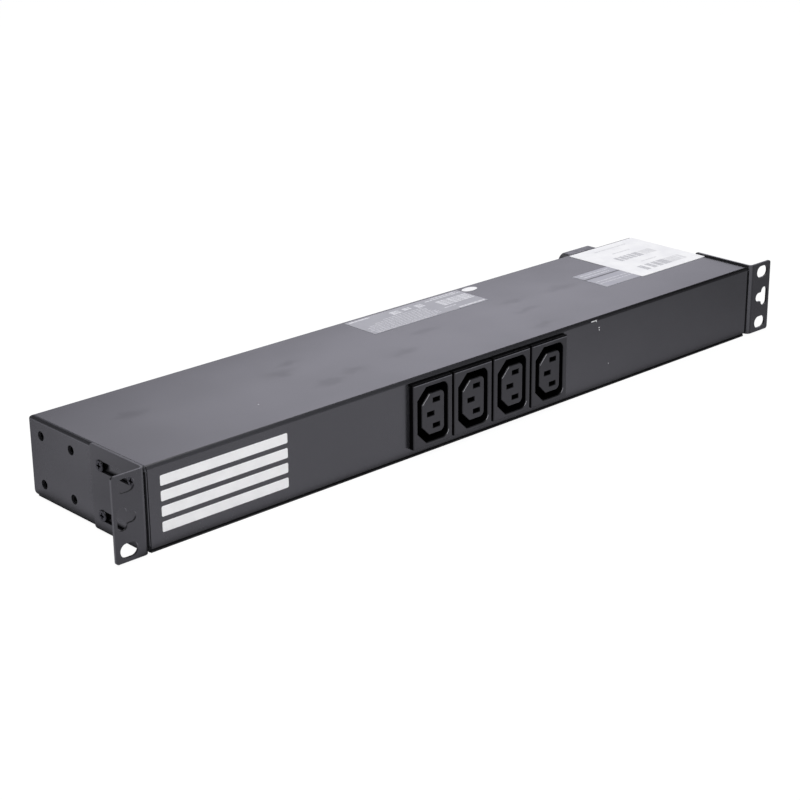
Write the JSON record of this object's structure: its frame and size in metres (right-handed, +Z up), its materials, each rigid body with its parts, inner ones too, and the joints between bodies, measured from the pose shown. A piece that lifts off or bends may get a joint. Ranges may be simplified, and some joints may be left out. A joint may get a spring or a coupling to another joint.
{
  "type": "rack power distribution unit",
  "caption": "Low black sheet steel box for an equipment rack, with slotted ears and appliance outlets that feed power to other units.",
  "frame": {"origin": "middle of the underside, halfway between the front and rear panels and between the ears", "axes": "+X to the right along the front, +Y to the rear, +Z up"},
  "size_m": [0.4826, 0.1065, 0.0441],
  "materials": {
    "cover_paint": "black powder coat, fine satin grain",
    "tray_paint": "black powder coat, fine satin grain",
    "ear_paint": "black powder coat, fine satin grain",
    "screw_black": "black oxide steel",
    "nut_steel": "zinc plated steel",
    "outlet_plastic": "moulded black nylon, satin",
    "core_plastic": "moulded black nylon, satin",
    "contact_brass": "plain stamped brass",
    "gland_plastic": "moulded black nylon, satin",
    "locknut_plastic": "moulded black nylon",
    "stud_steel": "zinc plated steel"
  },
  "bodies": {
    "root": {"cord_gland": "gland_plastic", "core_front_1": "core_plastic", "core_front_2": "core_plastic", "core_front_3": "core_plastic", "core_front_4": "core_plastic", "core_rear_1_1": "core_plastic", "core_rear_1_2": "core_plastic", "core_rear_1_3": "core_plastic", "core_rear_1_4": "core_plastic", "core_rear_2_1": "core_plastic", "core_rear_2_2": "core_plastic", "core_rear_2_3": "core_plastic", "core_rear_2_4": "core_plastic", "cover": "cover_paint", "ear_left": "ear_paint", "ear_right": "ear_paint", "ear_screws_left": "screw_black", "ear_screws_right": "screw_black", "earth_nut": "stud_steel", "earth_strip_front": "contact_brass", "earth_strip_rear_1": "contact_brass", "earth_strip_rear_2": "contact_brass", "earth_stud": "stud_steel", "gland_locknut": "locknut_plastic", "line_strip_front": "contact_brass", "line_strip_rear_1": "contact_brass", "line_strip_rear_2": "contact_brass", "neutral_strip_front": "contact_brass", "neutral_strip_rear_1": "contact_brass", "neutral_strip_rear_2": "contact_brass", "outlet_front_1": "outlet_plastic", "outlet_front_2": "outlet_plastic", "outlet_front_3": "outlet_plastic", "outlet_front_4": "outlet_plastic", "outlet_rear_1_1": "outlet_plastic", "outlet_rear_1_2": "outlet_plastic", "outlet_rear_1_3": "outlet_plastic", "outlet_rear_1_4": "outlet_plastic", "outlet_rear_2_1": "outlet_plastic", "outlet_rear_2_2": "outlet_plastic", "outlet_rear_2_3": "outlet_plastic", "outlet_rear_2_4": "outlet_plastic", "side_nuts_left": "nut_steel", "side_nuts_right": "nut_steel", "tray": "tray_paint"}
  },
  "joints": []
}
